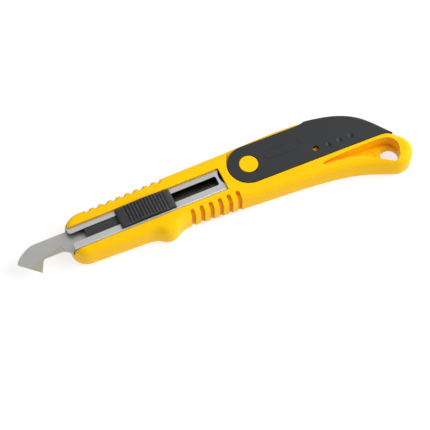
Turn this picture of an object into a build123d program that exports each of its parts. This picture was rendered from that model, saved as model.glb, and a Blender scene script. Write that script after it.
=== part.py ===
"""Plastic-handled scoring knife: sliding hooked blade, steel sheath, storage under a swinging cover.

Frame, in millimetres: +X runs from the blade to the tail, +Y towards the finger-scalloped edge,
+Z out of the face that carries the thumb slider. z = 0 is the flat back, x = 0 is the middle
of the handle's length, and y = 0 is the centre line of the sheath.
"""

import os
from math import atan2, cos, degrees, radians, sin

from build123d import *

# Handle
HANDLE_HEIGHT = 13.0
HANDLE_FRONT = -87.0
TOP_ROUND = 3.5
BOTTOM_ROUND = 2.5
NEAR_NOSE_RADIUS = 8.0
NEAR_NOSE_Y = -3.4
NEAR_SLOPE = 2.4
FAR_NOSE_RADIUS = 10.0
FAR_NOSE_Y = 1.9
FAR_SLOPE = 1.2
FAR_EDGE = ((-20.0, 12.9), (8.0, 13.2), (43.0, 12.6), (60.0, 8.2), (78.2, -7.7))
TAIL_CENTRE = (77.0, -20.5)
TAIL_RADIUS = 8.4
TAIL_START = 48.0
TAIL_END = -112.0
NEAR_EDGE = ((63.2, -23.6), (43.5, -18.7), (13.6, -15.95))
BUMP_REAR = (-27.5, -12.95)
BUMP_REAR_WAY = (-1.0, 0.07)
BUMP_PEAK = (-40.2, -16.5)
BUMP_FLANKS = ((-34.6, -14.35), (-45.3, -14.25))
BUMP_FRONT = -51.5

# Finger scallops on the far edge and ribs on the near edge
SCALLOP_COUNT = 9
SCALLOP_PITCH = 4.6
SCALLOP_START = -72.3
SCALLOP_CUTS = ((1.25, 1.15), (3.2, 0.35))
SCALLOP_LEAN = 35.0
SCALLOP_LEAN_Z = 10.6
SCALLOP_WALL = ((-72.3, 12.0), (-35.5, 12.55))
RIB_COUNT = 6
RIB_PITCH = 4.72
RIB_START = -27.4
RIB_WIDTH = 2.0
RIB_DEPTH = 1.8
RIB_TOP_Y = -10.0
RIB_RUN = (4.0, 6.0)
RIB_WALL = ((-27.4, -12.95), (-3.8, -14.75))

# Sheath: a rolled steel C section, open at the front
SHEATH_WIDTH = 14.0
SHEATH_BOTTOM = 7.3
SHEATH_TOP = 12.0
SHEET = 0.7
SHEATH_BEND = 1.3
SHEATH_FRONT = -85.4
SHEATH_REAR = -5.4
SLOT_Y = (-2.85, 2.35)
SLOT_REAR = -9.3
SLOT_CORNER = 1.0
LIP_CORNER = 1.6
REAR_ARC = 8.0
REAR_ARC_CENTRE = (0.0, 0.9)
SHEATH_FLOOR = SHEATH_BOTTOM + SHEET
SEAT_GAP = 0.1
WINDOW_Y = (-7.3, 5.4)
WINDOW_REAR = -6.6
DETENT_TRAVELS = (-24.0, 0.0, 12.5)
DETENT_SIZE = (3.4, 4.0)

# Blade
BLADE_THICKNESS = 0.8
BLADE_BOTTOM = SHEATH_FLOOR + 0.1
BLADE_REAR = -67.5
BLADE_FAR = 5.85
BLADE_NEAR = -5.9
BLADE_CURVE = ((-101.5, 5.85), (-106.8, 4.35), (-111.0, 1.35), (-112.4, -0.5))
CURVE_WAYS = ((-1.0, 0.0), (-0.5, -1.0))
NOSE_MIDDLE = (-112.5, -1.1)
NOSE_END = (-112.1, -1.7)
HOOK_TIP = (-103.5, -9.6)
HOOK_THROAT = ((-101.0, -4.6), (-100.3, -3.75), (-98.9, -3.3))
NECK_FLARE = ((-91.0, -3.3), (-89.0, -4.3), (-87.0, -5.9))
FLARE_WAYS = ((1.0, 0.0), (1.0, -0.6))
GRIND_LINE = (-9.0, -2.4, 0.0)
GRIND_NORMAL = (0.025, -0.093, 1.0)
GRIND_DEPTH = 0.55
GRIND_SIZE = (30.0, 24.0, 2.0)
REAR_CLIP = 4.0
PEG = (-73.5, 0.0)
PEG_RADIUS = 1.5
PEG_PLAY = 0.1
PEG_SOCKET = 0.5

# Carriage
CARRIER_X = (-77.6, -33.4)
CARRIER_HALF = 6.1
CARRIER_BOTTOM = BLADE_BOTTOM + BLADE_THICKNESS + 0.05
CARRIER_TOP = SHEATH_TOP - SHEET - 0.1
WEB_PLAY = 0.2
WEB_TOP = 11.75
SLIDER_X = (-61.0, -33.0)
SLIDER_Y = (-5.7, 4.7)
SLIDER_BASE = 12.15
SLIDER_END = 13.95
SLIDER_CROWN = 15.1
SLIDER_SHOULDER = 0.9
SLIDER_LEAD = (0.9, 0.25)
SLIDER_CHAMFER = 0.5
CROWN_X = (-56.8, -36.4)
RIDGE_COUNT = 12
RIDGE_PITCH = 1.63
RIDGE_GROOVE = 0.62
LEG_X = (-55.0, -43.0)
LEG_SIZE = (5.0, 2.6)
LEG_BOTTOM = 9.5
LEG_TOP = SLIDER_BASE + 0.5
SPRING_WIDTH = 3.4
SPRING_SHEET = 0.3
SPRING_LINE = ((-62.0, 8.8), (-55.5, 8.8), (-48.5, 8.25), (-47.0, 7.65), (-45.5, 8.25), (-44.6, 8.5))
SPRING_RIVET_X = -59.2
SPRING_RIVET_RADIUS = 0.9
SPRING_RIVET_HEAD = (1.44, 0.4)

# Storage cover
PIVOT = (8.05, 1.25)
COVER_THICKNESS = 1.6
COVER_UNDER = HANDLE_HEIGHT - COVER_THICKNESS
COVER_RADIUS = 10.35
COVER_SLOPE = 1.1
COVER_GAP = 0.45
COVER_OPEN = 60.0
SWING_TOUCH = 95.0
SWING_REACH = 14.0
SWING_REAR = 48.0
COVER_FAR = ((38.0, 11.05), (44.0, 12.7))
COVER_FLARE = (4.0, 3.0)
FLARE_WAY = (1.0, 0.2)
COVER_NEAR = ((70.0, -10.25), (75.5, -10.65), (79.5, -12.0), (89.0, -5.5))
TIP_WAY = (-0.88, 0.47)
SKIRT_START = ((43.8, 9.0), (42.2, 13.6))
SKIRT_BOTTOM = 6.0
SKIRT_THICKNESS = 1.6
COVER_ROUND = 1.5
LEDGE = 11.2
PIN_HEAD_RADIUS = 4.65
PIN_HEAD_BOTTOM = 12.15
PIN_HEAD_TOP = 13.05
PIN_HEAD_GAP = 0.3
PIN_HEAD_ROUND = 0.25
PIN_SHOULDER_RADIUS = 3.55
PIN_SHANK_RADIUS = 3.0
PIN_BOTTOM = 3.0
RUNNING_FIT = 0.05
DETENT_HOLE = (41.4, -4.45)
DETENT_HOLE_RADIUS = 1.5
TAB_RADIUS = 2.6
TAB_BOTTOM = 9.6
NUB_RADIUS = 1.2
DIMPLES = ((48.0, -5.1), (54.1, -5.15), (60.3, -5.1))
DIMPLE_RADIUS = 1.45
DIMPLE_DEPTH = 0.6

# Storage well and spare blades
WELL_X = (15.2, 63.4)
WELL_NEAR = -8.4
WELL_WALL = 3.9
WELL_FLOOR = 2.2
SPARE_NAMES = ("spare_blade_1", "spare_blade_2", "spare_blade_3")
SPARE_NOSE = 16.8
SPARE_SPINE = -7.9
SPARE_PITCH = 0.9

# Hanging hole
POCKET_FLOOR = 6.3
POCKET_RAMP = ((40.0, 11.6), (59.5, 6.3))
HOLE_CENTRE = (74.5, -19.8)
HOLE_RADIUS = 4.5
BACK_RECESS_CENTRE = (75.0, -19.3)
BACK_RECESS_RADIUS = 6.2
BACK_RECESS_TOP = 3.1
POCKET_FAR = ((41.3, -13.4), (50.0, -12.5), (61.5, -12.35), (73.2, -12.75))
POCKET_TAIL = ((77.6, -14.6), (79.1, -19.5), (77.5, -23.9), (75.3, -26.2))
POCKET_CORNER = ((74.0, -26.8), (72.7, -26.2))
POCKET_NEAR = ((67.5, -22.7), (60.6, -18.3), (50.9, -15.5), (41.3, -14.35))
POCKET_TIP = (40.8, -13.9)
POCKET_FAR_WAYS = ((1.0, 0.3), (1.0, -0.12))
POCKET_TAIL_WAY = (-0.8, -0.5)
POCKET_NEAR_WAYS = ((-0.85, 0.5), (-1.0, 0.12))

# Back plate and fasteners
PLATE_X = (-83.0, -1.0)
PLATE_HALF = 8.4
PLATE_THICKNESS = 1.8
PLATE_CORNER = 3.0
PLATE_GAP = 0.1
CORES = ((-74.5, -46.0), (-36.0, -10.5))
CORE_HALF = 6.8
CORE_TOP = 5.7
SCREW_X = {"front": -79.0, "middle": -41.0, "rear": -6.0}
SCREW_RADIUS = 1.2
SCREW_HEAD_RADIUS = 2.4
SCREW_HEAD = 1.2
SCREW_RECESS = 0.15
SCREW_TOP = 5.6
DRIVE_SIZE = (3.0, 0.6)
DRIVE_DEPTH = 0.5
RIVET_X = {"front": -64.0, "rear": -16.0}
RIVET_RADIUS = 1.5
RIVET_HEAD_RADIUS = 2.6
RIVET_HEAD = 0.8
PIVOT_SCREW_HEAD = 2.6
PIVOT_SCREW_BORE = 2.8
PIVOT_SCREW_SPAN = (0.4, 1.7)
PIVOT_SCREW_TOP = 8.5

# Reaches of the cutters past the handle
BELOW = -1.0
ABOVE = HANDLE_HEIGHT + 1.0
PAST_SIDE = 20.0
PAST_TAIL = 90.0


def block(x, y, z):
    """A box from three (low, high) spans."""
    spans = (x, y, z)
    size = [high - low for low, high in spans]
    centre = [(high + low) / 2 for low, high in spans]
    return Pos(*centre) * Box(*size)


def rod(centre, radius, low, high):
    """An upright cylinder."""
    return Pos(centre[0], centre[1], (low + high) / 2) * Cylinder(radius, high - low)


def cone(centre, low_radius, high_radius, low, high):
    """An upright cone frustum."""
    return Pos(centre[0], centre[1], (low + high) / 2) * Cone(low_radius, high_radius, high - low)


def prism(face, low, high):
    """A plan face extruded between two heights."""
    return Pos(0, 0, low) * extrude(face, high - low)


def top_edges(solid):
    return solid.edges().group_by(Axis.Z)[-1]


def bottom_edges(solid):
    return solid.edges().group_by(Axis.Z)[0]


def on_arc(centre, radius, angle):
    """A point on a circle, by its direction from the centre."""
    a = radians(angle)
    return (centre[0] + radius * cos(a), centre[1] + radius * sin(a))


def clockwise(angle):
    """The clockwise direction of travel on a circle, at the point in this direction from its centre."""
    a = radians(angle)
    return (sin(a), -cos(a))


def body_outline():
    """The handle's outline, clockwise: far nose, scalloped edge, tail, near edge with its guard bump."""
    far_nose = (HANDLE_FRONT + FAR_NOSE_RADIUS, FAR_NOSE_Y)
    near_nose = (HANDLE_FRONT + NEAR_NOSE_RADIUS, NEAR_NOSE_Y)
    far_start = on_arc(far_nose, FAR_NOSE_RADIUS, 90 + FAR_SLOPE)
    tail_start = on_arc(TAIL_CENTRE, TAIL_RADIUS, TAIL_START)
    tail_end = on_arc(TAIL_CENTRE, TAIL_RADIUS, TAIL_END)
    near_end = on_arc(near_nose, NEAR_NOSE_RADIUS, -90 - NEAR_SLOPE)
    near_way = clockwise(-90 - NEAR_SLOPE)
    rise = (BUMP_FRONT - near_end[0]) * near_way[1] / near_way[0]
    bump_front = (BUMP_FRONT, near_end[1] + rise)
    far_ways = [clockwise(90 + FAR_SLOPE), clockwise(TAIL_START)]
    edges = [Spline(far_start, *FAR_EDGE, tail_start, tangents=far_ways)]
    edges.append(ThreePointArc(tail_start, on_arc(TAIL_CENTRE, TAIL_RADIUS, -30), tail_end))
    edges.append(Spline(tail_end, *NEAR_EDGE, BUMP_REAR, tangents=[clockwise(TAIL_END), BUMP_REAR_WAY]))
    edges.append(Spline(BUMP_REAR, BUMP_FLANKS[0], BUMP_PEAK, tangents=[BUMP_REAR_WAY, (-1, 0)]))
    edges.append(Spline(BUMP_PEAK, BUMP_FLANKS[1], bump_front, tangents=[(-1, 0), near_way]))
    edges.append(Line(bump_front, near_end))
    near_front = (HANDLE_FRONT, NEAR_NOSE_Y)
    far_front = (HANDLE_FRONT, FAR_NOSE_Y)
    edges.append(ThreePointArc(near_end, on_arc(near_nose, NEAR_NOSE_RADIUS, 225), near_front))
    edges.append(Line(near_front, far_front))
    edges.append(ThreePointArc(far_front, on_arc(far_nose, FAR_NOSE_RADIUS, 135), far_start))
    return edges


def inset_edge(edge, inset):
    """An edge of a clockwise outline moved inwards."""
    count = {GeomType.LINE: 2, GeomType.CIRCLE: 3}.get(edge.geom_type, 9)
    points = []
    for i in range(count):
        place, way = edge @ (i / (count - 1)), edge % (i / (count - 1))
        points.append((place.X + inset * way.Y, place.Y - inset * way.X))
    if edge.geom_type == GeomType.LINE:
        return Line(*points)
    if edge.geom_type == GeomType.CIRCLE:
        return ThreePointArc(*points)
    return Spline(*points, tangents=[edge % 0, edge % 1])


def handle_face(inset=0.0):
    """The handle's plan, shrunk all round by an inset."""
    return make_face([inset_edge(edge, inset) for edge in body_outline()])


def rounded_handle(top_round):
    """The whole handle with no openings."""
    solid = prism(handle_face(), 0, HANDLE_HEIGHT)
    solid = fillet(top_edges(solid), top_round)
    return fillet(bottom_edges(solid), BOTTOM_ROUND)


def cover_face(grow=0.0):
    """The cover's plan, running on past the handle's outer edge."""
    near_start = on_arc(PIVOT, COVER_RADIUS + grow, -90 - COVER_SLOPE)
    far_start = on_arc(PIVOT, COVER_RADIUS + grow, 90 - COVER_SLOPE)
    far, flare = [(x - grow, y + grow) for x, y in COVER_FAR]
    near, bend, tip, past = [(x + grow / 2, y - grow) for x, y in COVER_NEAR]
    far_way = (far[0] - far_start[0], far[1] - far_start[1])
    near_way = (near_start[0] - near[0], near_start[1] - near[1])
    flare_end = (flare[0] + COVER_FLARE[0], flare[1] + COVER_FLARE[1])
    outside = [flare_end, (past[0], flare_end[1]), past]
    edges = [ThreePointArc(near_start, on_arc(PIVOT, COVER_RADIUS + grow, 180), far_start)]
    edges.append(Line(far_start, far))
    edges.append(Spline(far, flare, flare_end, tangents=[far_way, FLARE_WAY]))
    edges += [Line(start, end) for start, end in zip(outside, outside[1:])]
    edges.append(Line(past, tip))
    edges.append(Spline(tip, bend, near, tangents=[TIP_WAY, near_way]))
    edges.append(Line(near, near_start))
    return make_face(edges)


def skirt_side(low, high, shift=0.0):
    """Everything on the tail's side of the slanted line where the cover's skirt starts."""
    (x0, y0), (x1, y1) = SKIRT_START
    corners = [(x0 + shift, y0), (x1 + shift, y1), (x1, PAST_SIDE), (PAST_TAIL, PAST_SIDE)]
    corners += [(PAST_TAIL, -PAST_SIDE), (x0 + shift, -PAST_SIDE)]
    return prism(make_face(Polyline(*corners, close=True)), low, high)


def swing_face():
    """The part of the handle's far side that the opening cover passes over."""
    stop = SWING_TOUCH + COVER_OPEN
    touch = on_arc(PIVOT, COVER_RADIUS + COVER_GAP, stop)
    way = clockwise(stop)
    far = (touch[0] + SWING_REACH * way[0], touch[1] + SWING_REACH * way[1])
    rear = [(SWING_REAR, PAST_SIDE), (SWING_REAR, PIVOT[1])]
    return make_face(Polyline(PIVOT, touch, far, *rear, close=True))


def pocket_face():
    """The plan of the hanging pocket at the tail."""
    tail_ways = (POCKET_FAR_WAYS[1], POCKET_TAIL_WAY)
    edges = [Spline(*POCKET_FAR, tangents=POCKET_FAR_WAYS)]
    edges.append(Spline(POCKET_FAR[-1], *POCKET_TAIL, tangents=tail_ways))
    edges.append(ThreePointArc(POCKET_TAIL[-1], *POCKET_CORNER))
    edges.append(Spline(POCKET_CORNER[-1], *POCKET_NEAR, tangents=POCKET_NEAR_WAYS))
    edges.append(ThreePointArc(POCKET_NEAR[-1], POCKET_TIP, POCKET_FAR[0]))
    return make_face(edges)


def hanging_pocket():
    """The room of the hanging pocket, whose floor ramps down from the narrow end."""
    (x0, z0), (x1, z1) = POCKET_RAMP
    depth = Polyline((x0, z0), (x1, z1), (PAST_TAIL, z1), (PAST_TAIL, ABOVE), (x0, ABOVE), close=True)
    side = Plane.XZ * make_face(depth)
    return prism(pocket_face(), BELOW, ABOVE) & extrude(side, PAST_TAIL)


def on_line(line, x):
    """The height of a two-point line at x."""
    (x0, y0), (x1, y1) = line
    return y0 + (y1 - y0) * (x - x0) / (x1 - x0)


def scallops():
    """Cutters for the finger scallops, which run up the wall and lean in over its rounded top edge."""
    reach = 2 * HANDLE_HEIGHT
    cutters = []
    for i in range(SCALLOP_COUNT):
        x = SCALLOP_START + i * SCALLOP_PITCH
        for radius, depth in SCALLOP_CUTS:
            y = on_line(SCALLOP_WALL, x) - depth + radius
            lean = Pos(x, y, SCALLOP_LEAN_Z) * Rot(SCALLOP_LEAN, 0, 0) * Cylinder(radius, reach)
            upright = rod((x, y), radius, BELOW, SCALLOP_LEAN_Z)
            upper = block((x - reach, x + reach), (-reach, reach), (SCALLOP_LEAN_Z, ABOVE))
            cutters += [upright, lean & upper]
    return cutters


def ribs():
    """Cutters for the grip grooves, which run over the near edge and down the wall at one depth."""
    (x0, y0), (x1, y1) = RIB_WALL
    slope = degrees(atan2(y1 - y0, x1 - x0))
    length = (-RIB_RUN[0], x1 - x0 + RIB_RUN[1])
    core = block(length, (RIB_DEPTH, -RIB_TOP_Y), (BELOW - 1, HANDLE_HEIGHT - RIB_DEPTH))
    edge = core.edges().filter_by(Axis.X).sort_by(Axis.Z)[-2:].sort_by(Axis.Y)[0]
    core = Pos(x0, y0, 0) * Rot(0, 0, slope) * fillet(edge, TOP_ROUND - RIB_DEPTH)
    cutters = []
    for i in range(RIB_COUNT):
        x = RIB_START + i * RIB_PITCH
        top_y = RIB_TOP_Y - RIB_WIDTH / 2
        slot = block((x - RIB_WIDTH / 2, x + RIB_WIDTH / 2), (-PAST_SIDE, top_y), (BELOW, ABOVE))
        slot += rod((x, top_y), RIB_WIDTH / 2, BELOW, ABOVE)
        cutters.append(slot - core)
    return cutters


def storage_well():
    """The room for spare blades, kept inside the handle's curved rear wall."""
    room = block(WELL_X, (WELL_NEAR, PAST_SIDE), (WELL_FLOOR, LEDGE + 0.1))
    return room & prism(handle_face(WELL_WALL), WELL_FLOOR, LEDGE + 0.1)


def back_plate_blank(gap, low, high):
    """The back plate's round-cornered outline, grown by a gap."""
    ends = (PLATE_X[0] - gap, PLATE_X[1] + gap)
    half = PLATE_HALF + gap
    plate = block(ends, (-half, half), (low, high))
    return fillet(plate.edges().filter_by(Axis.Z), PLATE_CORNER)


def handle_body():
    body = rounded_handle(TOP_ROUND)
    front = HANDLE_FRONT - 1
    tunnel_half = SHEATH_WIDTH / 2 + SEAT_GAP
    gap_face = cover_face(COVER_GAP)
    body -= block((front, WINDOW_REAR), WINDOW_Y, (SHEATH_TOP, ABOVE))
    body -= block((front, SHEATH_REAR + SEAT_GAP), (-tunnel_half, tunnel_half), (SHEATH_BOTTOM, SHEATH_TOP))
    body -= prism(gap_face, LEDGE, ABOVE)
    body -= prism(swing_face(), LEDGE, ABOVE)
    inner = prism(handle_face(SKIRT_THICKNESS + COVER_GAP), BELOW, ABOVE + 1)
    rebate = prism(gap_face, SKIRT_BOTTOM - COVER_GAP, ABOVE) & skirt_side(0, ABOVE, -COVER_GAP)
    body -= rebate - inner
    body -= storage_well()
    body -= hanging_pocket()
    body -= rod(HOLE_CENTRE, HOLE_RADIUS, BELOW, POCKET_FLOOR)
    body -= rod(BACK_RECESS_CENTRE, BACK_RECESS_RADIUS, BELOW, BACK_RECESS_TOP)
    for cutter in scallops() + ribs():
        body -= cutter
    body -= back_plate_blank(PLATE_GAP, BELOW, PLATE_THICKNESS)
    for span in CORES:
        body -= block(span, (-CORE_HALF, CORE_HALF), (PLATE_THICKNESS, CORE_TOP))
    for x in SCREW_X.values():
        body -= rod((x, 0), SCREW_RADIUS, PLATE_THICKNESS, SCREW_TOP)
    for x in RIVET_X.values():
        body -= rod((x, 0), RIVET_RADIUS, CORE_TOP, SHEATH_BOTTOM)
    body -= rod(PIVOT, PIN_SHANK_RADIUS, PIN_BOTTOM, LEDGE)
    body -= rod(PIVOT, SCREW_RADIUS + RUNNING_FIT, BELOW, PIN_BOTTOM)
    body -= rod(PIVOT, PIVOT_SCREW_BORE, BELOW, PIVOT_SCREW_SPAN[1])
    tab = rod(DETENT_HOLE, TAB_RADIUS, TAB_BOTTOM, LEDGE)
    tab_x = (DETENT_HOLE[0] - TAB_RADIUS, DETENT_HOLE[0] + TAB_RADIUS)
    tab += block(tab_x, (WELL_NEAR - 0.5, DETENT_HOLE[1]), (TAB_BOTTOM, LEDGE))
    body += tab
    return body + rod(DETENT_HOLE, NUB_RADIUS, LEDGE, (LEDGE + COVER_UNDER) / 2)


def back_plate():
    plate = back_plate_blank(0, 0, PLATE_THICKNESS)
    head_end = SCREW_RECESS + SCREW_HEAD
    for x in SCREW_X.values():
        plate -= rod((x, 0), SCREW_RADIUS, BELOW, ABOVE)
        plate -= cone((x, 0), SCREW_HEAD_RADIUS, SCREW_RADIUS, SCREW_RECESS, head_end)
        plate -= rod((x, 0), SCREW_HEAD_RADIUS, BELOW, SCREW_RECESS)
    return plate


def drive_cross(centre, low, high):
    """The cross recess in a screw's head."""
    x, y = centre
    length, width = (size / 2 for size in DRIVE_SIZE)
    cross = block((x - length, x + length), (y - width, y + width), (low, high))
    return cross + block((x - width, x + width), (y - length, y + length), (low, high))


def back_screw(x):
    head_end = SCREW_RECESS + SCREW_HEAD
    screw = cone((x, 0), SCREW_HEAD_RADIUS, SCREW_RADIUS, SCREW_RECESS, head_end)
    screw += rod((x, 0), SCREW_RADIUS, head_end, SCREW_TOP)
    return screw - drive_cross((x, 0), BELOW, SCREW_RECESS + DRIVE_DEPTH)


def blade_sheath():
    """A steel C section with a slot along the top, a slotted floor for the lock and a hollowed rear end."""
    half = SHEATH_WIDTH / 2
    span = (SHEATH_FRONT, SHEATH_REAR)
    outer = block(span, (-half, half), (SHEATH_BOTTOM, SHEATH_TOP))
    outer = fillet(outer.edges().filter_by(Axis.X), SHEATH_BEND)
    inner = block(
        (span[0] - 1, span[1] + 1), (SHEET - half, half - SHEET), (SHEATH_FLOOR, SHEATH_TOP - SHEET)
    )
    inner = fillet(inner.edges().filter_by(Axis.X), SHEATH_BEND - SHEET)
    slot = block((span[0] - 1, SLOT_REAR), SLOT_Y, (SHEATH_FLOOR + 1, ABOVE))
    slot = fillet(slot.edges().filter_by(Axis.Z).group_by(Axis.X)[-1], SLOT_CORNER)
    sheath = outer - inner - slot
    lips = sheath.edges().filter_by(Axis.Z).filter_by(lambda edge: abs(edge.length - SHEET) < 0.01)
    lips = lips.group_by(Axis.X)[0]
    sheath = fillet(lips, LIP_CORNER)
    sheath -= rod(REAR_ARC_CENTRE, REAR_ARC, SHEATH_TOP - 1.5 * SHEET, ABOVE)
    for travel in DETENT_TRAVELS:
        x = SPRING_LINE[3][0] + travel
        half_x, half_y = (size / 2 for size in DETENT_SIZE)
        sheath -= block((x - half_x, x + half_x), (-half_y, half_y), (BELOW, SHEATH_FLOOR + 0.5))
    for x in RIVET_X.values():
        sheath -= rod((x, 0), RIVET_RADIUS, BELOW, SHEATH_FLOOR)
        sheath -= cone((x, 0), RIVET_RADIUS, RIVET_HEAD_RADIUS, SHEATH_BOTTOM, SHEATH_FLOOR)
    return sheath


def sheath_rivet(x):
    rivet = rod((x, 0), RIVET_RADIUS, CORE_TOP, SHEATH_BOTTOM)
    rivet += cone((x, 0), RIVET_RADIUS, RIVET_HEAD_RADIUS, SHEATH_BOTTOM, SHEATH_FLOOR)
    head = rod((x, 0), RIVET_HEAD_RADIUS, CORE_TOP - RIVET_HEAD, CORE_TOP)
    return rivet + fillet(bottom_edges(head), RIVET_HEAD / 2)


def blade_face():
    """The blade's plan: rounded nose, hook, narrow neck and a shank with clipped rear corners."""
    clip = BLADE_REAR - REAR_CLIP
    edges = [Line((clip, BLADE_FAR), BLADE_CURVE[0])]
    edges.append(Spline(*BLADE_CURVE, tangents=CURVE_WAYS))
    edges.append(ThreePointArc(BLADE_CURVE[-1], NOSE_MIDDLE, NOSE_END))
    edges.append(Polyline(NOSE_END, HOOK_TIP, HOOK_THROAT[0]))
    edges.append(ThreePointArc(*HOOK_THROAT))
    edges.append(Line(HOOK_THROAT[-1], NECK_FLARE[0]))
    edges.append(Spline(*NECK_FLARE, tangents=FLARE_WAYS))
    rear = [(clip, BLADE_NEAR), (BLADE_REAR, BLADE_NEAR + REAR_CLIP)]
    rear += [(BLADE_REAR, BLADE_FAR - REAR_CLIP), (clip, BLADE_FAR)]
    edges.append(Polyline(NECK_FLARE[-1], *rear))
    return make_face(edges)


def blade():
    """A hooked blade, lying at the height it has in the sheath."""
    top = BLADE_BOTTOM + BLADE_THICKNESS
    solid = prism(blade_face(), BLADE_BOTTOM, top)
    solid -= rod(PEG, PEG_RADIUS + PEG_PLAY, BELOW, ABOVE)
    ground = Plane((*HOOK_TIP, top - GRIND_DEPTH), x_dir=GRIND_LINE, z_dir=GRIND_NORMAL)
    return solid - ground * Pos(0, 0, GRIND_SIZE[2] / 2) * Box(*GRIND_SIZE)


def blade_carrier():
    """The moulded block that runs in the sheath and holds the blade down on the floor."""
    carrier = block(CARRIER_X, (-CARRIER_HALF, CARRIER_HALF), (CARRIER_BOTTOM, CARRIER_TOP))
    carrier = chamfer(carrier.edges().filter_by(Axis.X), SHEATH_BEND - SHEET)
    web = (SLOT_Y[0] + WEB_PLAY, SLOT_Y[1] - WEB_PLAY)
    carrier += block(CARRIER_X, web, (CARRIER_TOP, WEB_TOP))
    carrier -= rod(PEG, PEG_RADIUS, BELOW, CARRIER_TOP - PEG_SOCKET)
    for leg in slider_legs(RUNNING_FIT):
        carrier -= leg
    spring_at = (SPRING_RIVET_X, 0)
    return carrier - rod(spring_at, SPRING_RIVET_RADIUS, BELOW, CARRIER_TOP - PEG_SOCKET)


def slider_legs(gap):
    """The two legs under the thumb slider, or their sockets."""
    half_x, half_y = (size / 2 + gap for size in LEG_SIZE)
    legs = []
    for x in LEG_X:
        legs.append(block((x - half_x, x + half_x), (-half_y, half_y), (LEG_BOTTOM - gap, LEG_TOP)))
    return legs


def blade_peg():
    return rod(PEG, PEG_RADIUS, BLADE_BOTTOM + 0.1, CARRIER_TOP - PEG_SOCKET)


def slider_button():
    """The thumb slider: a long pad with a crowned, cross-ridged middle."""
    front, rear = SLIDER_X
    crown_front, crown_rear = CROWN_X
    middle = (crown_front + crown_rear) / 2
    shoulder = SLIDER_BASE + SLIDER_SHOULDER
    run, drop = SLIDER_LEAD
    outline = [(rear - run, SLIDER_END - drop), (rear, shoulder), (rear, SLIDER_BASE)]
    outline += [(front, SLIDER_BASE), (front, shoulder), (front + run, SLIDER_END - drop)]
    chain = [Polyline(*outline), Line(outline[-1], (crown_front, SLIDER_END))]
    chain.append(ThreePointArc((crown_front, SLIDER_END), (middle, SLIDER_CROWN), (crown_rear, SLIDER_END)))
    chain.append(Line((crown_rear, SLIDER_END), outline[0]))
    side = Plane.XZ * make_face(chain)
    pad = Pos(0, SLIDER_Y[1], 0) * extrude(side, SLIDER_Y[1] - SLIDER_Y[0])
    long_edges = pad.edges().filter_by(lambda edge: edge.center().Z > shoulder)
    long_edges = long_edges.filter_by(lambda edge: abs(abs((edge % 0.5).Y) - 1) > 0.1)
    pad = chamfer(long_edges, SLIDER_CHAMFER)
    rise = SLIDER_CROWN - SLIDER_END
    half = (crown_rear - crown_front) / 2
    arc_radius = (half**2 + rise**2) / (2 * rise)
    width = SLIDER_Y[1] - SLIDER_Y[0] + 2
    start = middle - RIDGE_COUNT * RIDGE_PITCH / 2
    for i in range(RIDGE_COUNT + 1):
        x = start + i * RIDGE_PITCH
        surface = SLIDER_CROWN - arc_radius + (arc_radius**2 - (x - middle) ** 2) ** 0.5
        groove = Pos(x, sum(SLIDER_Y) / 2, surface + 0.1) * Rot(90, 0, 0) * Cylinder(RIDGE_GROOVE, width)
        pad -= groove
    for leg in slider_legs(0.0):
        pad += leg
    return pad


def lock_spring():
    """A bent steel leaf whose nose drops into the slots in the sheath's floor."""
    upper = [(x, z + SPRING_SHEET / 2) for x, z in SPRING_LINE]
    lower = [(x, z - SPRING_SHEET / 2) for x, z in reversed(SPRING_LINE)]
    side = Plane.XZ * make_face(Polyline(*upper, *lower, close=True))
    leaf = Pos(0, SPRING_WIDTH / 2, 0) * extrude(side, SPRING_WIDTH)
    return leaf - rod((SPRING_RIVET_X, 0), SPRING_RIVET_RADIUS, BELOW, ABOVE)


def spring_rivet():
    under = SPRING_LINE[0][1] - SPRING_SHEET / 2
    at = (SPRING_RIVET_X, 0)
    rivet = rod(at, SPRING_RIVET_RADIUS, under, CARRIER_TOP - PEG_SOCKET)
    head_radius, head_height = SPRING_RIVET_HEAD
    return rivet + rod(at, head_radius, under - head_height, under)


def storage_cover():
    """A flat lid that swings about its round end, wrapped down the handle's far side near the tail."""
    face = cover_face()
    skirt = prism(face, SKIRT_BOTTOM, ABOVE) & skirt_side(0, ABOVE + 1)
    skirt -= prism(handle_face(SKIRT_THICKNESS), BELOW, COVER_UNDER)
    cover = rounded_handle(COVER_ROUND) & (prism(face, COVER_UNDER, ABOVE) + skirt)
    cover -= rod(PIVOT, PIN_SHOULDER_RADIUS + RUNNING_FIT, BELOW, ABOVE)
    cover -= rod(PIVOT, PIN_HEAD_RADIUS + PIN_HEAD_GAP, PIN_HEAD_BOTTOM - RUNNING_FIT, ABOVE)
    cover -= rod(DETENT_HOLE, DETENT_HOLE_RADIUS, BELOW, ABOVE)
    bowl = (DIMPLE_RADIUS**2 + DIMPLE_DEPTH**2) / (2 * DIMPLE_DEPTH)
    for x, y in DIMPLES:
        cover -= Pos(x, y, HANDLE_HEIGHT - DIMPLE_DEPTH + bowl) * Rot(90, 0, 0) * Sphere(bowl)
    return cover


def cover_pivot():
    """The round-headed pin that the cover turns on."""
    pin = rod(PIVOT, PIN_SHANK_RADIUS, PIN_BOTTOM, LEDGE)
    pin += rod(PIVOT, PIN_SHOULDER_RADIUS, LEDGE, PIN_HEAD_BOTTOM)
    head = rod(PIVOT, PIN_HEAD_RADIUS, PIN_HEAD_BOTTOM, PIN_HEAD_TOP)
    pin += fillet(top_edges(head), PIN_HEAD_ROUND)
    return pin - rod(PIVOT, SCREW_RADIUS, BELOW, PIVOT_SCREW_TOP)


def pivot_screw():
    low, high = PIVOT_SCREW_SPAN
    screw = rod(PIVOT, PIVOT_SCREW_HEAD, low, high)
    screw += rod(PIVOT, SCREW_RADIUS, high, PIVOT_SCREW_TOP)
    return screw - drive_cross(PIVOT, BELOW, low + DRIVE_DEPTH)


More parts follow.
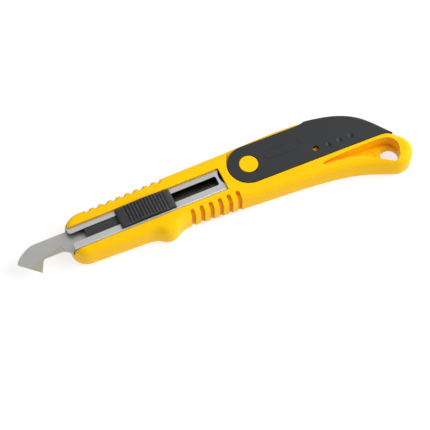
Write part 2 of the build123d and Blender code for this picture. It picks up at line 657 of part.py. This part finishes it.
def spare_blade(index):
    """A spare blade, turned over and lying in the well with its nose towards the cover's pivot."""
    over = Rot(180, 0, 0) * blade()
    shift = (SPARE_NOSE - NOSE_MIDDLE[0], SPARE_SPINE + BLADE_FAR)
    height = WELL_FLOOR + 0.1 + index * SPARE_PITCH + BLADE_BOTTOM + BLADE_THICKNESS
    return Pos(*shift, height) * over


def write(name, solid):
    export_step(solid, f"parts/{name}.step")


os.makedirs("parts", exist_ok=True)
write("handle_body", handle_body())
write("back_plate", back_plate())
for place, x in SCREW_X.items():
    write(f"back_screw_{place}", back_screw(x))
write("blade_sheath", blade_sheath())
for place, x in RIVET_X.items():
    write(f"sheath_rivet_{place}", sheath_rivet(x))
write("hook_blade", blade())
write("blade_carrier", blade_carrier())
write("blade_peg", blade_peg())
write("slider_button", slider_button())
write("lock_spring", lock_spring())
write("spring_rivet", spring_rivet())
write("storage_cover", storage_cover())
write("cover_pivot", cover_pivot())
write("pivot_screw", pivot_screw())
for number, name in enumerate(SPARE_NAMES):
    write(name, spare_blade(number))
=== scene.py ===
"""Looks for the sliding hooked-blade scoring knife: materials, small moulded details, camera and studio.

Lengths are metres in the part's own frame. Pattern sizes inside the materials are millimetres.
"""

from math import cos, pi, radians, sin

import bmesh
import bpy
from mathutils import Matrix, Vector


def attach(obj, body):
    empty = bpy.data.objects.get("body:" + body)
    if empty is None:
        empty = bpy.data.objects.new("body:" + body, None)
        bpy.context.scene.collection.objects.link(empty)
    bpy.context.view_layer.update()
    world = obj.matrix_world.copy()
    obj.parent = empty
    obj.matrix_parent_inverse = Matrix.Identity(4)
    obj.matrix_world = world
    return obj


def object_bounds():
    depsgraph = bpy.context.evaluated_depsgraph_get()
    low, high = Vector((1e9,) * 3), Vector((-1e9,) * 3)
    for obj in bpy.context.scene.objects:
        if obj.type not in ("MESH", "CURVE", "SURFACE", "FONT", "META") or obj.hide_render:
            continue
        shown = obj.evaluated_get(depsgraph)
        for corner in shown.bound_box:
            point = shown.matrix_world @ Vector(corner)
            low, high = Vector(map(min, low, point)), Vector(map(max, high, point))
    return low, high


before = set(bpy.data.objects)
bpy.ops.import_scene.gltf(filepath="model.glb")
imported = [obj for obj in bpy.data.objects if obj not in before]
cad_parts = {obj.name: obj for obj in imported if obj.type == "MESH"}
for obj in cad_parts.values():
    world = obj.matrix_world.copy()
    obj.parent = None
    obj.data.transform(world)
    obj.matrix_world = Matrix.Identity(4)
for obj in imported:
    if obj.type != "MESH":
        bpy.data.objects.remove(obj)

CAD_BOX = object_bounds()
MM = 0.001

# Camera, fitted to the photograph's viewing angle
SENSOR = 36.0
LENS = 122.5
CAMERA_AZIMUTH = radians(-24.9)
CAMERA_ELEVATION = radians(60.5)
CAMERA_DISTANCE = 0.7
CAMERA_TARGET = Vector((-0.01708, -0.01435, 0.0065))

# Studio: the room's light at the horizon and overhead, the table, and two soft lamps aimed at the origin
HORIZON_LIGHT = 0.50
SKY_LIGHT = 0.58
FADE_FROM, FADE_TO = 0.1, 0.75
WHITE = (1.0, 1.0, 1.0, 1.0)
FLOOR_SIZE = 4.0
FLOOR_GAP = 0.0002
FLOOR_TONES = ((0.31, 0.31, 0.31), (0.29, 0.29, 0.29))
FLOOR_ROUGH = 0.9
FLOOR_GLOW = 0.72
LAMPS = {
    "key": {"where": (0.85, -0.3, 0.85), "size": (1.0, 1.0), "power": 15.5},
    "rim": {"where": (0.7, 0.7, 0.35), "size": (0.6, 0.4), "power": 2.0},
}

# Each plastic has its own colour, a darker drift, a painted shade for its inner corners, and a lighter colour
# for rubbed edges that is wear and, on the black plastic, also a painted highlight on the ridges
YELLOW = ((0.93, 0.55, 0.001), (0.87, 0.43, 0.0005), (0.85, 0.27, 0.0005), (0.96, 0.69, 0.02))
CHARCOAL = ((0.022, 0.024, 0.025), (0.014, 0.015, 0.016), (0.003, 0.003, 0.003), (0.085, 0.088, 0.092))
BLACK = ((0.030, 0.030, 0.033), (0.018, 0.018, 0.020), (0.005, 0.005, 0.005), (0.25, 0.25, 0.27))
# Painted shade laid into the narrow gaps between parts, a dark brown
GAP_SHADE = (0.07, 0.035, 0.008)

# Greatest share of each layer in a plastic's colour, and what each layer does to its roughness
DRIFT_SHARE, MOTTLE_SHARE, GAP_SHADE_SHARE, MARK_SHARE = 0.35, 0.12, 0.85, 0.18
PLASTIC_SHEEN = (-0.05, 0.07)
GRAIN_SHEEN, RUBBED_SHEEN, MARK_SHEEN = 0.06, 0.1, 0.14
WAVE_DEPTH = 0.12 * MM
MARK_DEPTH = 0.01 * MM
SCATTER_RADIUS = (1.0, 0.45, 0.08)
SCATTER_SCALE = 1.6 * MM

# The same for steel, with the colours of its stains, of the painted shade in its corners, of its bright edges
# (part wear, part painted highlight), of its ground facet and of the painted shade on its unlit inside
SPOT_COLOUR = (0.16, 0.12, 0.09)
STEEL_CORNER_SHADE = (0.12, 0.11, 0.10)
EDGE_WEAR_AND_HIGHLIGHT = (0.86, 0.86, 0.85)
GROUND_COLOUR = (0.50, 0.48, 0.36)
INSIDE_SHADE_COLOUR = (0.075, 0.072, 0.055)
FINE_SHARE, BROAD_SHARE, CLOUD_SHARE, SPOT_SHARE = 0.35, 0.3, 0.25, 0.5
STEEL_CORNER_SHADE_SHARE, EDGE_WEAR_AND_HIGHLIGHT_SHARE, GROUND_SHARE, INSIDE_SHADE_SHARE = 0.55, 0.5, 0.9, 0.975
STEEL_SHEEN = (-0.05, 0.08)
CLOUD_SHEEN, SPOT_SHEEN, EDGE_SHEEN = 0.09, 0.2, 0.08
SPOT_DEPTH = 0.01 * MM
INSIDE_TOP = 11.8
INSIDE_FADE = 0.4

# Small mouldings, in millimetres
BEAD_POINTS = 7
BEAD_SINK = 0.05
PILL_STEPS = 24
PANEL = {"centre": (26.6, 1.9), "half_length": 9.7, "half_width": 2.4, "turn": radians(-2.0)}
PANEL_BEAD = {"width": 0.34, "height": 0.09, "surface": 13.0}
EJECTOR = {"centre": (66.4, -16.0), "half_length": 1.9, "half_width": 1.9}
EJECTOR_BEAD = {"width": 0.5, "height": 0.22, "surface": 6.3}


class Graph:
    """One material's shader nodes. Patterns are laid out in millimetres of the part's own frame."""

    def __init__(self, name):
        self.material = bpy.data.materials.new(name)
        self.material.use_nodes = True
        self.tree = self.material.node_tree
        self.shader = self.tree.nodes["Principled BSDF"]
        self.place = self.scaled(self.add("ShaderNodeTexCoord").outputs["Object"], (1 / MM,) * 3)

    def add(self, kind, **settings):
        node = self.tree.nodes.new(kind)
        for key, value in settings.items():
            setattr(node, key, value)
        return node

    def link(self, source, target):
        self.tree.links.new(source, target)

    def put(self, node, name, value):
        """Links a socket or sets a number on a node's input."""
        if isinstance(value, bpy.types.NodeSocket):
            self.link(value, node.inputs[name])
        else:
            node.inputs[name].default_value = value

    def scaled(self, source, scale, turn=0.0):
        node = self.add("ShaderNodeMapping")
        self.link(source, node.inputs["Vector"])
        node.inputs["Scale"].default_value = scale
        node.inputs["Rotation"].default_value = (0, 0, turn)
        return node.outputs["Vector"]

    def noise(self, scale, detail=2.0, rough=0.5, where=None, distortion=0.0):
        node = self.add("ShaderNodeTexNoise")
        self.link(where or self.place, node.inputs["Vector"])
        node.inputs["Scale"].default_value = scale
        node.inputs["Detail"].default_value = detail
        node.inputs["Roughness"].default_value = rough
        node.inputs["Distortion"].default_value = distortion
        return node.outputs["Fac"]

    def cells(self, scale):
        node = self.add("ShaderNodeTexVoronoi")
        self.link(self.place, node.inputs["Vector"])
        node.inputs["Scale"].default_value = scale
        return node.outputs["Distance"]

    def span(self, value, low, high, to_low=0.0, to_high=1.0):
        """Maps a value's (low, high) range to another, clamped."""
        node = self.add("ShaderNodeMapRange", clamp=True)
        self.put(node, "Value", value)
        node.inputs["From Min"].default_value = low
        node.inputs["From Max"].default_value = high
        node.inputs["To Min"].default_value = to_low
        node.inputs["To Max"].default_value = to_high
        return node.outputs["Result"]

    def math(self, operation, a, b=0.0):
        node = self.add("ShaderNodeMath", operation=operation)
        for i, value in enumerate((a, b)):
            self.put(node, i, value)
        return node.outputs["Value"]

    def mix(self, share, a, b):
        node = self.add("ShaderNodeMix", data_type="RGBA")
        self.put(node, 0, share)
        for key, value in ((6, a), (7, b)):
            self.put(node, key, value if isinstance(value, bpy.types.NodeSocket) else (*value, 1.0))
        return node.outputs[2]

    def layer(self, tone, mask, share, colour):
        """Lays a colour over a tone where a mask is set, up to a share."""
        return self.mix(self.math("MULTIPLY", mask, share), tone, colour)

    def height(self):
        """The height in the part's frame."""
        split = self.add("ShaderNodeSeparateXYZ")
        self.link(self.place, split.inputs["Vector"])
        return split.outputs["Z"]

    def level(self):
        """How level the surface is: 1 where it faces straight up or down."""
        split = self.add("ShaderNodeSeparateXYZ")
        self.link(self.add("ShaderNodeNewGeometry").outputs["True Normal"], split.inputs["Vector"])
        return self.math("ABSOLUTE", split.outputs["Z"])

    def edges(self, radius, sharpness):
        """A mask of sharp edges, and the normal with those edges rounded off."""
        bevel = self.add("ShaderNodeBevel", samples=6)
        bevel.inputs["Radius"].default_value = radius
        dot = self.add("ShaderNodeVectorMath", operation="DOT_PRODUCT")
        self.link(bevel.outputs["Normal"], dot.inputs[0])
        self.link(self.add("ShaderNodeNewGeometry").outputs["Normal"], dot.inputs[1])
        mask = self.span(dot.outputs["Value"], 1.0, 1.0 - sharpness)
        return mask, bevel.outputs["Normal"]

    def hollows(self, distance, clear=0.95, shut=0.35):
        """A mask of inner corners and narrow gaps, from the share of open sky within a distance."""
        shade = self.add("ShaderNodeAmbientOcclusion", samples=6)
        shade.inputs["Distance"].default_value = distance
        return self.span(shade.outputs["AO"], clear, shut)

    def bump(self, height, depth, normal):
        node = self.add("ShaderNodeBump")
        self.link(height, node.inputs["Height"])
        node.inputs["Distance"].default_value = depth
        node.inputs["Strength"].default_value = 1.0
        self.link(normal, node.inputs["Normal"])
        return node.outputs["Normal"]

    def scratches(self, scale, turn):
        """A mask of fine, nearly straight scratches in one direction."""
        turned = self.scaled(self.place, (1.0, 1.0, 1.0), turn)
        stretched = self.scaled(turned, (1.0 / 40.0, 1.0, 1.0))
        lines = self.noise(scale, 3.0, 0.6, stretched, distortion=0.15)
        patches = self.noise(0.12, 2.0, 0.5)
        return self.math("MULTIPLY", self.span(lines, 0.68, 0.8), self.span(patches, 0.48, 0.66))


def plastic(name, colours, rough, grain_depth, shine, rounding, corner, wear_and_highlight, scatter=0.0, index=1.5):
    """Moulded plastic: fine spark-eroded grain, slow colour drift, painted shade in the corners and gaps, and
    rubbed edges that are lighter with wear and, on the black plastic, with painted highlight.

    The corner and wear arguments set the shares of the painted shade in inner corners and of the rubbed
    edges' lighter colour, which is part wear and part painted highlight.
    """
    g = Graph(name)
    colour, deep, corner_shade_colour, wear_and_highlight_colour = colours
    edge, soft_normal = g.edges(rounding * MM, 0.22)
    corner_shade = g.hollows(2.5 * MM)
    gap_shade = g.hollows(0.8 * MM, 0.5, 0.2)
    drift = g.span(g.noise(0.035, 3.0, 0.55), 0.32, 0.68)
    mottle = g.span(g.noise(0.9, 4.0, 0.65), 0.3, 0.72)
    grain = g.noise(7.0, 3.0, 0.6)
    marks = g.math("MAXIMUM", g.scratches(2.2, 0.35), g.scratches(1.7, 1.9))
    rubbed_and_highlight = g.math("MULTIPLY", edge, g.span(g.noise(0.45, 4.0, 0.7), 0.34, 0.6))

    tone = g.layer(colour, drift, DRIFT_SHARE, deep)
    tone = g.layer(tone, mottle, MOTTLE_SHARE, deep)
    # Painted shade: inner corners darkened towards the plastic's corner shade colour
    tone = g.layer(tone, corner_shade, corner, corner_shade_colour)
    # Painted shade: a dark brown in narrow gaps between parts
    tone = g.layer(tone, gap_shade, GAP_SHADE_SHARE, GAP_SHADE)
    # Rubbed edges turn lighter: wear, and on the black plastic also a painted highlight on the ridges
    tone = g.layer(tone, rubbed_and_highlight, wear_and_highlight, wear_and_highlight_colour)
    tone = g.layer(tone, marks, MARK_SHARE, wear_and_highlight_colour)
    g.link(tone, g.shader.inputs["Base Color"])

    low, high = (rough + change for change in PLASTIC_SHEEN)
    sheen = g.math("ADD", g.span(mottle, 0.0, 1.0, low, high), g.math("MULTIPLY", grain, GRAIN_SHEEN))
    sheen = g.math("SUBTRACT", sheen, g.math("MULTIPLY", rubbed_and_highlight, RUBBED_SHEEN))
    sheen = g.math("ADD", sheen, g.math("MULTIPLY", marks, MARK_SHEEN))
    g.link(sheen, g.shader.inputs["Roughness"])

    wave = g.bump(g.noise(0.06, 2.0, 0.5), WAVE_DEPTH, soft_normal)
    fine = g.bump(grain, grain_depth * MM, wave)
    g.link(g.bump(marks, -MARK_DEPTH, fine), g.shader.inputs["Normal"])

    g.shader.inputs["IOR"].default_value = index
    g.shader.inputs["Specular IOR Level"].default_value = shine
    if scatter:
        g.shader.inputs["Subsurface Weight"].default_value = scatter
        g.shader.inputs["Subsurface Radius"].default_value = SCATTER_RADIUS
        g.shader.inputs["Subsurface Scale"].default_value = SCATTER_SCALE
    return g.material


def steel(name, colour, stain, rough, stretch, depth, turn=0.0, streaks=5.0, inside=False, ground=False):
    """Rolled or ground steel: streaks in one direction, cloudy roughness, bright edges that are part wear and
    part painted highlight, dull spots and painted shade in the corners.

    Steel with an inside gets painted shade below the sheath's lips, and ground steel is tinted on tilted
    facets.
    """
    g = Graph(name)
    edge, soft_normal = g.edges(0.15 * MM, 0.25)
    corner_shade = g.hollows(1.5 * MM)
    turned = g.scaled(g.place, (1.0, 1.0, 1.0), turn)
    along = g.scaled(turned, (1.0 / stretch, 1.0, 1.0))
    broad = g.noise(streaks * 0.35, 3.0, 0.6, along)
    fine = g.noise(streaks, 5.0, 0.7, along)
    cloud = g.span(g.noise(0.11, 4.0, 0.6), 0.35, 0.68)
    spots = g.span(g.cells(0.5), 0.12, 0.02)
    spots = g.math("MULTIPLY", spots, g.span(g.noise(0.2, 2.0, 0.5), 0.5, 0.62))

    tone = g.mix(g.span(fine, 0.3, 0.7, to_high=FINE_SHARE), colour, stain)
    tone = g.mix(g.span(broad, 0.35, 0.65, to_high=BROAD_SHARE), tone, stain)
    tone = g.layer(tone, cloud, CLOUD_SHARE, stain)
    tone = g.layer(tone, spots, SPOT_SHARE, SPOT_COLOUR)
    # Painted shade: steel darkened in inner corners and narrow gaps
    tone = g.layer(tone, corner_shade, STEEL_CORNER_SHADE_SHARE, STEEL_CORNER_SHADE)
    # Bright edges: part worn steel, part painted highlight
    tone = g.layer(tone, edge, EDGE_WEAR_AND_HIGHLIGHT_SHARE, EDGE_WEAR_AND_HIGHLIGHT)
    if ground:
        level = g.level()
        facet = g.math("MULTIPLY", g.span(level, 0.9985, 0.9965), g.span(level, 0.5, 0.8))
        tone = g.layer(tone, facet, GROUND_SHARE, GROUND_COLOUR)
    # Painted shade: the sheath's inside below its lips is darkened as if unlit
    if inside:
        unlit = g.span(g.height(), INSIDE_TOP, INSIDE_TOP - INSIDE_FADE)
        tone = g.layer(tone, unlit, INSIDE_SHADE_SHARE, INSIDE_SHADE_COLOUR)
    g.link(tone, g.shader.inputs["Base Color"])

    low, high = (rough + change for change in STEEL_SHEEN)
    sheen = g.math("ADD", g.span(fine, 0.3, 0.7, low, high), g.math("MULTIPLY", cloud, CLOUD_SHEEN))
    sheen = g.math("ADD", sheen, g.math("MULTIPLY", spots, SPOT_SHEEN))
    g.link(g.math("SUBTRACT", sheen, g.math("MULTIPLY", edge, EDGE_SHEEN)), g.shader.inputs["Roughness"])

    lines = g.bump(fine, depth * MM, soft_normal)
    g.link(g.bump(spots, -SPOT_DEPTH, lines), g.shader.inputs["Normal"])
    g.shader.inputs["Metallic"].default_value = 1.0
    return g.material


def painted(node, material):
    """Gives a CAD node one material throughout."""
    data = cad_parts[node].data
    data.materials.clear()
    data.materials.append(material)


# The look shared by the two yellow mouldings
GLOSSY = {"shine": 0.5, "wear_and_highlight": 0.45, "scatter": 0.1, "index": 1.2}
HANDLE = plastic("handle_plastic", YELLOW, rough=0.34, grain_depth=0.004, rounding=0.6, corner=0.65, **GLOSSY)
PIVOT = plastic("pivot_plastic", YELLOW, rough=0.3, grain_depth=0.003, rounding=0.2, corner=0.6, **GLOSSY)
COVER = plastic(
    "cover_plastic", CHARCOAL, rough=0.42, grain_depth=0.007, shine=0.34, rounding=0.3, corner=0.9, wear_and_highlight=0.5
)
INNER = plastic(
    "black_plastic", BLACK, rough=0.42, grain_depth=0.005, shine=0.4, rounding=0.2, corner=0.7, wear_and_highlight=1.0
)
SHEATH = steel(
    "sheath_steel", (0.84, 0.85, 0.84), (0.66, 0.67, 0.66), rough=0.25, stretch=30.0, depth=0.004, inside=True
)
BLADE = steel(
    "blade_steel",
    (0.62, 0.62, 0.61),
    (0.52, 0.52, 0.51),
    rough=0.36,
    stretch=6.0,
    depth=0.002,
    streaks=9.0,
    ground=True,
)
SPRING = steel("spring_steel", (0.58, 0.57, 0.55), (0.40, 0.39, 0.37), rough=0.28, stretch=20.0, depth=0.003)
ZINC = steel(
    "zinc_steel", (0.62, 0.63, 0.64), (0.40, 0.41, 0.43), rough=0.32, stretch=6.0, depth=0.003, turn=0.6
)

FINISHES = {
    HANDLE: ("handle_body", "back_plate"),
    PIVOT: ("cover_pivot",),
    COVER: ("storage_cover",),
    INNER: ("blade_carrier", "slider_button"),
    # The sheath's rivets share its steel, and so its painted shade inside
    SHEATH: ("blade_sheath", "sheath_rivet_front", "sheath_rivet_rear"),
    BLADE: ("hook_blade", "spare_blade_1", "spare_blade_2", "spare_blade_3"),
    SPRING: ("lock_spring",),
    ZINC: (
        "back_screw_front",
        "back_screw_middle",
        "back_screw_rear",
        "blade_peg",
        "spring_rivet",
        "pivot_screw",
    ),
}
for material, nodes in FINISHES.items():
    for node in nodes:
        painted(node, material)


def new_piece(name, verts, faces, material, body):
    """A smooth-shaded mesh that rides on a body and takes the given material."""
    mesh = bpy.data.meshes.new(name)
    mesh.from_pydata(verts, [], faces)
    mesh.materials.append(material)
    for polygon in mesh.polygons:
        polygon.use_smooth = True
    mesh.update()
    piece = bpy.data.objects.new(name, mesh)
    bpy.context.scene.collection.objects.link(piece)
    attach(piece, body)
    return piece


def raised_line(name, path, width, height, surface, material, slot, body):
    """A low rounded bead that follows a closed plan path on a level surface. All in millimetres."""
    count = len(path)
    verts, faces = [], []
    for i, (x, y) in enumerate(path):
        (ax, ay), (bx, by) = path[i - 1], path[(i + 1) % count]
        length = ((bx - ax) ** 2 + (by - ay) ** 2) ** 0.5
        side = ((by - ay) / length, (ax - bx) / length)
        for j in range(BEAD_POINTS):
            angle = pi * j / (BEAD_POINTS - 1)
            out, up = width / 2 * cos(angle), height * sin(angle)
            low = BEAD_SINK if j in (0, BEAD_POINTS - 1) else 0.0
            verts.append(((x + out * side[0]) * MM, (y + out * side[1]) * MM, (surface + up - low) * MM))
    for i in range(count):
        for j in range(BEAD_POINTS):
            a, b = i * BEAD_POINTS, (i + 1) % count * BEAD_POINTS
            k = (j + 1) % BEAD_POINTS
            faces.append((a + j, a + k, b + k, b + j))
    return new_piece(name, verts, faces, material, body)


def pill(centre, half_length, half_width, turn=0.0):
    """A closed path round a pill shape, or round a ring where both halves are the same."""
    straight = half_length - half_width
    count = PILL_STEPS + 1 if straight else PILL_STEPS
    points = []
    for end, shift in enumerate((straight, -straight)):
        for i in range(count):
            angle = -pi / 2 + pi * i / PILL_STEPS + pi * end
            x = half_width * cos(angle) + shift
            y = half_width * sin(angle)
            across, along = x * cos(turn) - y * sin(turn), x * sin(turn) + y * cos(turn)
            points.append((centre[0] + across, centre[1] + along))
    return points


def make_floor():
    """A pale studio table that fades into the background."""
    mesh = bpy.data.meshes.new("studio_floor")
    bm = bmesh.new()
    bmesh.ops.create_grid(bm, x_segments=8, y_segments=8, size=FLOOR_SIZE)
    bm.to_mesh(mesh)
    bm.free()
    floor = bpy.data.objects.new("studio_floor", mesh)
    bpy.context.scene.collection.objects.link(floor)
    floor.location.z = CAD_BOX[0].z - FLOOR_GAP
    g = Graph("studio_paper")
    g.link(g.mix(g.span(g.noise(0.02, 3.0, 0.5), 0.3, 0.7), *FLOOR_TONES), g.shader.inputs["Base Color"])
    g.shader.inputs["Roughness"].default_value = FLOOR_ROUGH
    g.shader.inputs["Emission Color"].default_value = WHITE
    g.shader.inputs["Emission Strength"].default_value = FLOOR_GLOW
    mesh.materials.append(g.material)


def soft_light(name, where, size, power):
    """A rectangular lamp aimed at the origin."""
    lamp = bpy.data.lights.new(name, "AREA")
    lamp.shape = "RECTANGLE"
    lamp.size, lamp.size_y = size
    lamp.energy = power
    holder = bpy.data.objects.new(name, lamp)
    bpy.context.scene.collection.objects.link(holder)
    holder.location = where
    holder.rotation_mode = "QUATERNION"
    holder.rotation_quaternion = (-Vector(where)).to_track_quat("-Z", "Y")


def make_studio():
    """A pale room, a little brighter overhead than at the horizon, with a key lamp and a weak rim lamp."""
    world = bpy.data.worlds.new("studio")
    world.use_nodes = True
    tree = world.node_tree
    background = tree.nodes["Background"]
    direction = tree.nodes.new("ShaderNodeTexCoord")
    split = tree.nodes.new("ShaderNodeSeparateXYZ")
    fade = tree.nodes.new("ShaderNodeMapRange")
    tree.links.new(direction.outputs["Generated"], split.inputs["Vector"])
    tree.links.new(split.outputs["Z"], fade.inputs["Value"])
    fade.inputs["From Min"].default_value = FADE_FROM
    fade.inputs["From Max"].default_value = FADE_TO
    fade.inputs["To Min"].default_value = HORIZON_LIGHT
    fade.inputs["To Max"].default_value = SKY_LIGHT
    tree.links.new(fade.outputs["Result"], background.inputs["Strength"])
    background.inputs["Color"].default_value = WHITE
    bpy.context.scene.world = world
    for name, lamp in LAMPS.items():
        soft_light(name, **lamp)
    bpy.context.scene.view_settings.view_transform = "Standard"
    bpy.context.scene.view_settings.look = "None"


def make_camera():
    data = bpy.data.cameras.new("camera")
    data.sensor_width = SENSOR
    data.lens = LENS
    data.clip_start, data.clip_end = 0.01, 20.0
    camera = bpy.data.objects.new("camera", data)
    bpy.context.scene.collection.objects.link(camera)
    level = cos(CAMERA_ELEVATION)
    back = Vector((sin(CAMERA_AZIMUTH) * level, -cos(CAMERA_AZIMUTH) * level, sin(CAMERA_ELEVATION)))
    camera.location = CAMERA_TARGET + CAMERA_DISTANCE * back
    camera.rotation_mode = "QUATERNION"
    camera.rotation_quaternion = (-back).to_track_quat("-Z", "Y")
    bpy.context.scene.camera = camera


raised_line(
    "cover_panel_rim", pill(**PANEL), **PANEL_BEAD, material=COVER, slot="cover_plastic", body="cover"
)
raised_line(
    "ejector_mark", pill(**EJECTOR), **EJECTOR_BEAD, material=HANDLE, slot="handle_plastic", body="handle"
)

make_floor()
make_studio()
make_camera()
